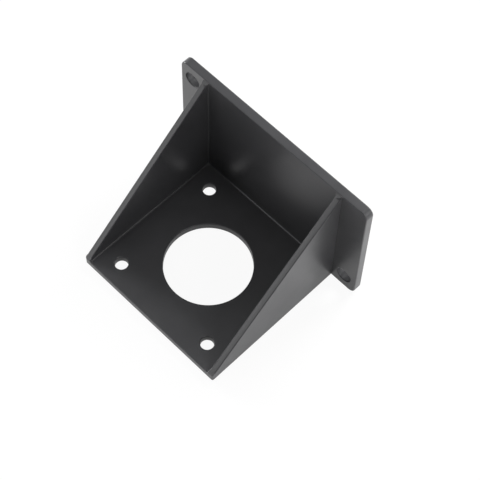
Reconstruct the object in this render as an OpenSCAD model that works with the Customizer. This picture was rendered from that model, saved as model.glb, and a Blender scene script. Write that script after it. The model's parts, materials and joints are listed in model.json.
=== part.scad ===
// Motor mounting bracket, moulded in one piece.
// A square motor plate lies flat, with the motor's boss opening and four screw holes.
// A wall plate stands behind it, and reaches out past both sides as a pair of drilled ears.
// A triangular gusset on each side ties the two plates together, and the motor fits between them.
// The origin is the centre of the boss opening, on the motor plate's underside.
// +Z points up from the motor plate, and +Y points back to the wall plate.

/* [Motor] */
// Side of the square motor that stands between the gussets
motor_w = 42; // [40:0.5:57]
// Gap between the motor and each gusset
motor_gap = 0.4; // [0.2:0.1:1.5]
// Distance between neighbouring motor screws, the same both ways
motor_screw_spacing = 31; // [29:0.5:32.5]
// Diameter of each screw hole in the motor plate
motor_hole_d = 3.5; // [2.5:0.1:4.5]
// Diameter of the opening for the boss round the motor's shaft
pilot_d = 23; // [16:0.5:30]

/* [Motor plate] */
// Thickness of the motor plate
plate_t = 2.2; // [1.5:0.1:5]
// Depth of the motor plate, from its front edge to the wall plate
plate_depth = 42; // [40:0.5:57]
// Radius of the motor plate's two front corners, seen from above
plate_corner_r = 0.5; // [0.3:0.1:1.5]

/* [Wall plate] */
// Thickness of the wall plate
wall_t = 2.4; // [1.5:0.1:6]
// Height of the wall plate, from the motor plate's underside
wall_h = 39; // [30:0.5:60]
// How far each ear reaches out past its gusset
ear_w = 7.8; // [7:0.1:15]
// Radius of the wall plate's four corners
wall_corner_r = 2; // [0.5:0.1:3.5]
// Diameter of the screw hole in each ear
wall_hole_d = 4.5; // [3:0.1:5]
// How far the left ear's hole is below the top edge, and the right ear's above the bottom edge
wall_hole_inset = 4.8; // [4:0.1:10]

/* [Gussets] */
// Thickness of each gusset
gusset_t = 1.6; // [1.2:0.1:4]
// How far below the wall plate's top edge the gussets end
gusset_drop = 0.4; // [0.2:0.1:5]
// Height of each gusset's front end, above the motor plate
gusset_toe = 0.2; // [0.1:0.1:3]

/* [Fillets] */
// Radius of the fillet in every inside corner of the motor's pocket
fillet_r = 0.5; // [0.3:0.1:1]

/* [Hidden] */
$fn = 96;

// How far a cut reaches past a face
lap = 0.5;

pocket_w = motor_w + 2 * motor_gap;
body_w = pocket_w + 2 * gusset_t;
wall_w = body_w + 2 * ear_w;
wall_y = plate_depth / 2;
front_y = wall_y - plate_depth;
back_y = wall_y + wall_t;
gusset_top = wall_h - gusset_drop;

// Each ear's hole is midway between the gusset and the wall plate's side edge.
wall_hole_x = (body_w + ear_w) / 2;
// The two holes lie on a diagonal: the left one is this far above the wall plate's middle,
// and the right one this far below it.
wall_hole_rise = wall_h / 2 - wall_hole_inset;

// Moulded black plastic
moulded_black = "#424244";

// What lies between a square corner and the arc of radius r that rounds it.
// Cut away from a plate it rounds an outside corner, and left out of a cut an inside one.
module corner(r) {
    difference() {
        translate([-lap, -lap]) square(r + lap);
        translate([r, r]) circle(r);
    }
}

// The same corner at both ends of a width w that is centred on X.
// The corner at +X is mirrored, so that both open towards the middle.
module corner_pair(w, r) {
    for (side = [0, 1])
        mirror([side, 0]) translate([-w / 2, 0]) corner(r);
}

// An outline drawn in Y and Z, extruded across a width w that is centred on X.
module across(w) {
    rotate([90, 0, 90]) linear_extrude(w, center = true) children();
}

// An outline drawn in X and Z, extruded back from y over a depth.
module backwards(y, depth) {
    translate([0, y + depth, 0]) rotate([90, 0, 0]) linear_extrude(depth) children();
}

// The motor plate and gussets seen from above, with rounded front corners.
// They reach half-way into the wall plate, so that the two make one solid.
module footprint() {
    difference() {
        translate([-body_w / 2, front_y]) square([body_w, plate_depth + wall_t / 2]);
        translate([0, front_y]) corner_pair(body_w, plate_corner_r);
    }
}

// The motor plate and a gusset seen from the side.
// The sloping edge starts at the plate's front edge, just above its top face.
module gusset_outline() {
    polygon([
        [front_y, 0],
        [back_y - wall_t / 2, 0],
        [back_y - wall_t / 2, gusset_top],
        [wall_y, gusset_top],
        [front_y, plate_t + gusset_toe]
    ]);
}

// The wall plate with its two ears, seen from the front.
module wall_outline() {
    difference() {
        translate([-wall_w / 2, 0]) square([wall_w, wall_h]);
        corner_pair(wall_w, wall_corner_r);
        translate([0, wall_h]) mirror([0, 1]) corner_pair(wall_w, wall_corner_r);
    }
}

// The space that the motor stands in, open at the front and top.
// It is what three outlines share, so that each of its closed edges is rounded.
module pocket() {
    intersection() {
        backwards(front_y - lap, plate_depth + lap) difference() {
            translate([-pocket_w / 2, plate_t]) square([pocket_w, wall_h]);
            translate([0, plate_t]) corner_pair(pocket_w, fillet_r);
        }
        across(pocket_w + 2 * lap) difference() {
            translate([front_y - lap, plate_t]) square([plate_depth + lap, wall_h]);
            translate([wall_y, plate_t]) mirror([1, 0]) corner(fillet_r);
        }
        linear_extrude(2 * wall_h) difference() {
            translate([-pocket_w / 2, front_y - lap]) square([pocket_w, plate_depth + lap]);
            translate([0, wall_y]) mirror([0, 1]) corner_pair(pocket_w, fillet_r);
        }
    }
}

// The boss opening and the motor's four screw holes.
module motor_holes() {
    translate([0, 0, -lap]) {
        cylinder(h = plate_t + 2 * lap, d = pilot_d);
        for (x = [-1, 1], y = [-1, 1])
            translate([x, y] * motor_screw_spacing / 2) cylinder(h = plate_t + 2 * lap, d = motor_hole_d);
    }
}

// The screw holes in the ears, high on the left and low on the right.
module wall_holes() {
    for (side = [-1, 1])
        translate([side * wall_hole_x, back_y + lap, wall_h / 2 - side * wall_hole_rise])
            rotate([90, 0, 0]) cylinder(h = wall_t + 2 * lap, d = wall_hole_d);
}

module bracket() {
    color(moulded_black) difference() {
        union() {
            intersection() {
                linear_extrude(wall_h) footprint();
                across(wall_w) gusset_outline();
            }
            backwards(wall_y, wall_t) wall_outline();
        }
        pocket();
        motor_holes();
        wall_holes();
    }
}

bracket();
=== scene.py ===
# A black bracket for a square motor, moulded in one piece.
# The moulding is the frame's solid with its outside edges eased, as a mould leaves them.
# It stands on white paper in a dim room, with soft lamps around it, most of them low.

import json
import math

import bmesh
import bpy
from mathutils import Matrix, Vector


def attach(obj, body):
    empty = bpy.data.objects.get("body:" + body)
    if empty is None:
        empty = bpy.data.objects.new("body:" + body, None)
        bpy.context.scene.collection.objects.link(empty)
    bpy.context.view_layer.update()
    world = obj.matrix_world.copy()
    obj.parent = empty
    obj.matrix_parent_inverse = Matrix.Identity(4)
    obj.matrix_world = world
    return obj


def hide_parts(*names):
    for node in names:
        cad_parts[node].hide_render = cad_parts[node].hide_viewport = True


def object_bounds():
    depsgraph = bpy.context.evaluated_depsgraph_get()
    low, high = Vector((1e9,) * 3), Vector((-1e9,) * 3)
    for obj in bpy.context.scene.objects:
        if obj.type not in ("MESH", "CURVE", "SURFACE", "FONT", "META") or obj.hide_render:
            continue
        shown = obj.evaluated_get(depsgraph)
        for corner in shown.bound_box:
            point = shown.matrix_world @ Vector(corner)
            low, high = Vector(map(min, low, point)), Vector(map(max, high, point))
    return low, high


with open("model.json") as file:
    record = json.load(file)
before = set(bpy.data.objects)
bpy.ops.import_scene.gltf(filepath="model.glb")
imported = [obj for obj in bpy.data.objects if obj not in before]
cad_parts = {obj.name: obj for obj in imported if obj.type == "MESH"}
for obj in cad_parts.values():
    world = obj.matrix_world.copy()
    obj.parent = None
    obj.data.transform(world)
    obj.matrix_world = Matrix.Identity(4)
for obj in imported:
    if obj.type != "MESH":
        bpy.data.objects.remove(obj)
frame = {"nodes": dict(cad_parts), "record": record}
cad_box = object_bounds()

MM = 0.001

# The camera, from a perspective fit to the photo's straight edges and holes
VIEW_AZIMUTH = 43.583
VIEW_ELEVATION = 61.416
VIEW_ROLL = 1.784
VIEW_DISTANCE = 373.048 * MM
VIEW_AIM = Vector((3.655, 7.487, 10.0)) * MM
LENS = 112.415
SENSOR = 36.0
NEAREST = 10 * MM

# The bracket's own sizes that its mounts don't give
GUSSET_TOP = 38.6 * MM
GUSSET_TOE = 2.4 * MM
WALL_T = 2.4 * MM
# From the wall plate's middle to the screw hole in an ear, across and up
EAR_HOLE_OUT = 26.9 * MM
EAR_HOLE_UP = 14.7 * MM

# How far each outside edge is eased, and in how many steps
EDGE_RADIUS = 0.25 * MM
EDGE_STEPS = 3
# An edge that turns by less than this is a facet of a curve, and isn't eased
SHARP_ANGLE = math.radians(38)
# The easing runs out this far before the ends of a gusset's slope, where a fillet runs into it
RUN_OUT = 0.9 * MM
# Points closer than this are one point
WELD = 0.002 * MM
# An edge within this of a plane lies in it
IN_PLANE = 0.02 * MM
# Faces that turn by less than this are one flat face
FLAT_ANGLE = math.radians(0.5)

FRONT_Y = cad_box[0][1]
WALL_Y = cad_box[1][1] - WALL_T
# Half of the front edge's straight stretch between the gussets' fillets
FLAT_FRONT = 20.5 * MM

# The nylon's two tones, and how rough it is where it is dark and where it is pale
NYLON_DARK = "3a3a3c"
NYLON_PALE = "424244"
DARK_ROUGHNESS = 0.3
PALE_ROUGHNESS = 0.35
# The clouds that mix these, and the swells of its faces, across and in depth
CLOUD_SIZE = 6 * MM
SWELL_SIZE = 2.2 * MM
SWELL_DEPTH = 0.006 * MM

WHITE = "ffffff"
# The paper's colour in the light, and its side in metres
PAPER_COLOUR = "f4f4f4"
PAPER_SIZE = 4.0
# A hair below the bracket's underside, so that the two faces don't flicker
PAPER_Z = -0.02 * MM
# How much of the paper's tone comes from the light on it, which is what shows the shadow
PAPER_SHADE = 0.07
# The light of the dim room, where 1 is a white one
ROOM_LEVEL = 0.12
# How white the paper and the room are in what a face mirrors, against what the camera sees of them
PAPER_GLEAM = 0.48
ROOM_GLEAM = 0.05

# The soft lamps are squares that all stand at one distance. Each one has its direction in degrees
# round from +X towards +Y, its height in degrees above the paper, its side in metres and its watts.
LAMPS = {
    "back": (90, 36, 0.4, 12.1),
    "left": (180, 15, 0.4, 10.2),
    "back_right": (45, 15, 0.4, 4.3),
    "right": (0, 36, 0.4, 2.8),
    "above": (0, 90, 0.4, 1.0),
    "front_left": (225, 36, 0.4, 0.7),
    "front": (248, 26, 0.25, 1.0),
}
LAMP_DISTANCE = 1.0
LAMP_AIM = Vector((0, 0, 12)) * MM


def linear(colour):
    """An sRGB hex colour, such as 1c1c1e, as linear red, green, blue and alpha."""
    parts = [int(colour[i : i + 2], 16) / 255 for i in (0, 2, 4)]
    return tuple(p / 12.92 if p <= 0.04045 else ((p + 0.055) / 1.055) ** 2.4 for p in parts) + (1.0,)


def add_node(tree, kind, sockets=None, **settings):
    """Adds a node to a tree. sockets gives each input's value, or the output that feeds it."""
    made = tree.nodes.new("ShaderNode" + kind)
    for name, value in settings.items():
        setattr(made, name, value)
    for name, value in (sockets or {}).items():
        if isinstance(value, bpy.types.NodeSocket):
            tree.links.new(value, made.inputs[name])
        else:
            made.inputs[name].default_value = value
    return made


def new_material(name):
    """A material with an empty node tree, and that tree."""
    material = bpy.data.materials.new(name)
    material.use_nodes = True
    material.node_tree.nodes.clear()
    return material, material.node_tree


def moulded_nylon():
    """Black nylon with glass fibre, moulded in a fine-sparked steel tool.
    The eye sees a soft satin sheen that gets stronger at a flat angle, and an almost even black.
    The grain that the sparks leave is too fine to show, and is in the roughness."""
    material, tree = new_material("moulded_nylon")
    place = add_node(tree, "TexCoord").outputs["Object"]
    # The faces aren't quite even: they sink and swell by a few microns every couple of millimetres
    swell = add_node(
        tree,
        "TexNoise",
        {"Vector": place, "Scale": 1 / SWELL_SIZE, "Detail": 1.0, "Roughness": 0.5},
    )
    # Fibres and flow in the plastic leave clouds a few millimetres wide
    clouds = add_node(
        tree,
        "TexNoise",
        {"Vector": place, "Scale": 1 / CLOUD_SIZE, "Detail": 3.0, "Roughness": 0.55},
    )
    # A colour mix has its share at 0 and its two colours at 6 and 7
    colour = add_node(
        tree,
        "Mix",
        {0: clouds.outputs[0], 6: linear(NYLON_DARK), 7: linear(NYLON_PALE)},
        data_type="RGBA",
    )
    # Nearly all of the clouds' noise lies between 0.3 and 0.7
    satin = add_node(
        tree,
        "MapRange",
        {
            "Value": clouds.outputs[0],
            "From Min": 0.3,
            "From Max": 0.7,
            "To Min": DARK_ROUGHNESS,
            "To Max": PALE_ROUGHNESS,
        },
    )
    bump = add_node(tree, "Bump", {"Height": swell.outputs[0], "Distance": SWELL_DEPTH})
    surface = add_node(
        tree,
        "BsdfPrincipled",
        {
            "Base Color": colour.outputs[2],
            "Roughness": satin.outputs[0],
            "IOR": 1.5,
            "Normal": bump.outputs[0],
        },
    )
    add_node(tree, "OutputMaterial", {"Surface": surface.outputs[0]})
    return material


def seen_share(tree, gleam):
    """How much of a backdrop's plain white a ray gets: all of it straight from the camera, and the share
    gleam where a face mirrors the backdrop or something clear shows it."""
    rays = add_node(tree, "LightPath").outputs
    mirrored = add_node(
        tree,
        "Math",
        {0: rays["Is Glossy Ray"], 1: rays["Is Transmission Ray"]},
        operation="MAXIMUM",
    )
    share = add_node(
        tree,
        "Math",
        {0: mirrored.outputs[0], 1: gleam, 2: rays["Is Camera Ray"]},
        operation="MULTIPLY_ADD",
    )
    return share.outputs[0]


def white_paper():
    """The paper under the bracket: white to the camera with a faint shadow, and half white in what the
    satin faces mirror. All other light that it sends to the bracket is that of matt paper. From below
    it is clear, so that the bracket's underside shows."""
    material, tree = new_material("white_paper")
    seen = seen_share(tree, PAPER_GLEAM)
    share = add_node(tree, "Math", {0: seen, 1: 1 - PAPER_SHADE}, operation="MULTIPLY")
    matt = add_node(tree, "BsdfDiffuse", {"Color": linear(PAPER_COLOUR)})
    white = add_node(tree, "Emission", {"Color": linear(WHITE), "Strength": 1.0})
    upper = add_node(tree, "MixShader", {0: share.outputs[0], 1: matt.outputs[0], 2: white.outputs[0]})
    below = add_node(tree, "NewGeometry").outputs["Backfacing"]
    clear = add_node(tree, "BsdfTransparent")
    paper = add_node(tree, "MixShader", {0: below, 1: upper.outputs[0], 2: clear.outputs[0]})
    add_node(tree, "OutputMaterial", {"Surface": paper.outputs[0]})
    return material


def cut_lines():
    """Planes that cut the flat faces through the middle of each hole and where the easing runs out.
    Every hole's rim then has an edge square to it on four sides, so the easing stays even."""
    mounts = {mount["name"]: mount for mount in frame["record"]["mounts"]}
    motor_hole = mounts["motor_screws"]["dims"]["spacing_x_mm"] / 2 * MM
    wall_middle = mounts["wall_screws"]["pos_m"][2]
    across = [-EAR_HOLE_OUT, -motor_hole, 0, motor_hole, EAR_HOLE_OUT, -FLAT_FRONT, FLAT_FRONT]
    back = [-motor_hole, 0, motor_hole, FRONT_Y + RUN_OUT, WALL_Y - RUN_OUT]
    up = [wall_middle - EAR_HOLE_UP, wall_middle + EAR_HOLE_UP]
    planes = [(Vector((x, 0, 0)), Vector((1, 0, 0))) for x in across]
    planes += [(Vector((0, y, 0)), Vector((0, 1, 0))) for y in back]
    planes += [(Vector((0, 0, z)), Vector((0, 0, 1))) for z in up]
    return planes


def has_room(a, b):
    """Whether the outside edge from a to b has room to be eased. The ends of the gussets' slopes and
    the front edge of a gusset's toe don't, because a fillet runs out there."""
    slope = Vector((0, WALL_Y - FRONT_Y, GUSSET_TOP - GUSSET_TOE)).normalized()
    rise = Vector((0, -slope.z, slope.y))
    start = Vector((0, FRONT_Y, GUSSET_TOE))
    middle = (a + b) / 2
    off_slope = max(abs((point - start).dot(rise)) for point in (a, b))
    if off_slope < IN_PLANE:
        return FRONT_Y + RUN_OUT < middle.y < WALL_Y - RUN_OUT
    on_front = middle.y < FRONT_Y + IN_PLANE
    return not (on_front and abs(middle.x) > FLAT_FRONT and middle.z > GUSSET_TOE / 2)


def outside_edges(mesh):
    """For each of the mesh's edges, whether it stands out. Inside corners keep their form."""
    shape = bmesh.new()
    shape.from_mesh(mesh)
    found = [edge.is_convex for edge in shape.edges]
    shape.free()
    return found


def join_flat_faces():
    """Makes the loose triangles of the mesh in edit mode whole flat faces, parted only along the planes
    of cut_lines."""
    bpy.ops.mesh.select_all(action="SELECT")
    bpy.ops.mesh.customdata_custom_splitnormals_clear()
    bpy.ops.mesh.remove_doubles(threshold=WELD)
    for place, normal in cut_lines():
        bpy.ops.mesh.select_all(action="SELECT")
        bpy.ops.mesh.bisect(plane_co=place, plane_no=normal, threshold=WELD)
        bpy.ops.mesh.mark_seam()
    bpy.ops.mesh.select_all(action="SELECT")
    bpy.ops.mesh.remove_doubles(threshold=WELD)
    bpy.ops.mesh.dissolve_limited(angle_limit=FLAT_ANGLE, delimit={"SEAM"})
    bpy.ops.mesh.select_all(action="SELECT")
    bpy.ops.mesh.mark_seam(clear=True)


def ease_outside_edges(piece):
    """Bevels the sharp outside edges of the piece in edit mode, where they have room for it."""
    bpy.ops.mesh.select_all(action="DESELECT")
    bpy.ops.mesh.edges_select_sharp(sharpness=SHARP_ANGLE)
    bpy.ops.object.mode_set(mode="OBJECT")
    points = [vertex.co for vertex in piece.data.vertices]
    for edge, outside in zip(piece.data.edges, outside_edges(piece.data)):
        edge.select = edge.select and outside and has_room(*(points[i] for i in edge.vertices))
    bpy.ops.object.mode_set(mode="EDIT")
    bpy.ops.mesh.bevel(offset=EDGE_RADIUS, segments=EDGE_STEPS, affect="EDGES", clamp_overlap=False)


def moulding():
    """The bracket: its solid with flat faces joined and outside edges eased, shaded smooth."""
    piece = bpy.data.objects.new("moulding", frame["nodes"]["bracket"].data.copy())
    bpy.context.scene.collection.objects.link(piece)
    bpy.ops.object.select_all(action="DESELECT")
    bpy.context.view_layer.objects.active = piece
    piece.select_set(True)
    bpy.ops.object.mode_set(mode="EDIT")
    bpy.ops.mesh.select_mode(type="EDGE")
    join_flat_faces()
    ease_outside_edges(piece)
    bpy.ops.object.mode_set(mode="OBJECT")
    bpy.ops.object.shade_smooth_by_angle(angle=SHARP_ANGLE)
    bpy.ops.object.modifier_add(type="WEIGHTED_NORMAL")
    weighted = piece.modifiers[-1]
    weighted.keep_sharp = True
    bpy.ops.object.modifier_apply(modifier=weighted.name)
    piece.data.materials.clear()
    piece.data.materials.append(moulded_nylon())
    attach(piece, "root")
    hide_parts("bracket")


def lamp(name, azimuth, height, size, power):
    """A square soft lamp in a direction from the bracket, turned to face it."""
    round_z = math.radians(azimuth)
    up = math.radians(height)
    way = Vector((math.cos(round_z) * math.cos(up), math.sin(round_z) * math.cos(up), math.sin(up)))
    bpy.ops.object.light_add(type="AREA", location=LAMP_AIM + LAMP_DISTANCE * way)
    made = bpy.context.active_object
    made.name = name
    made.data.shape = "SQUARE"
    made.data.size = size
    made.data.energy = power
    made.rotation_euler = way.to_track_quat("Z", "Y").to_euler()


def dim_room():
    """A room round it all that the camera sees white, and that gives little light."""
    world = bpy.data.worlds.new("white_room")
    world.use_nodes = True
    tree = world.node_tree
    tree.nodes.clear()
    seen = seen_share(tree, ROOM_GLEAM)
    level = add_node(tree, "MapRange", {"Value": seen, "To Min": ROOM_LEVEL, "To Max": 1.0})
    room = add_node(tree, "Background", {"Color": linear(WHITE), "Strength": level.outputs[0]})
    add_node(tree, "OutputWorld", {"Surface": room.outputs[0]})
    bpy.context.scene.world = world


def studio():
    """White paper, the dim room and the soft lamps."""
    bpy.ops.object.select_all(action="DESELECT")
    bpy.ops.mesh.primitive_plane_add(size=PAPER_SIZE, location=(0, 0, PAPER_Z))
    paper = bpy.context.active_object
    paper.name = "paper"
    paper.data.materials.append(white_paper())
    dim_room()
    for name, values in LAMPS.items():
        lamp(name, *values)


def camera():
    """The camera, at the photo's angle."""
    turn = Matrix.Rotation(math.radians(VIEW_AZIMUTH), 4, "Z")
    turn = turn @ Matrix.Rotation(math.radians(90 - VIEW_ELEVATION), 4, "X")
    turn = turn @ Matrix.Rotation(math.radians(VIEW_ROLL), 4, "Z")
    data = bpy.data.cameras.new("camera")
    data.sensor_width = SENSOR
    data.lens = LENS
    data.clip_start = NEAREST
    made = bpy.data.objects.new("camera", data)
    bpy.context.scene.collection.objects.link(made)
    place = VIEW_AIM + turn.to_3x3() @ Vector((0, 0, VIEW_DISTANCE))
    made.matrix_world = Matrix.Translation(place) @ turn
    bpy.context.scene.camera = made


bpy.context.scene.view_settings.view_transform = "Standard"
camera()
studio()
moulding()
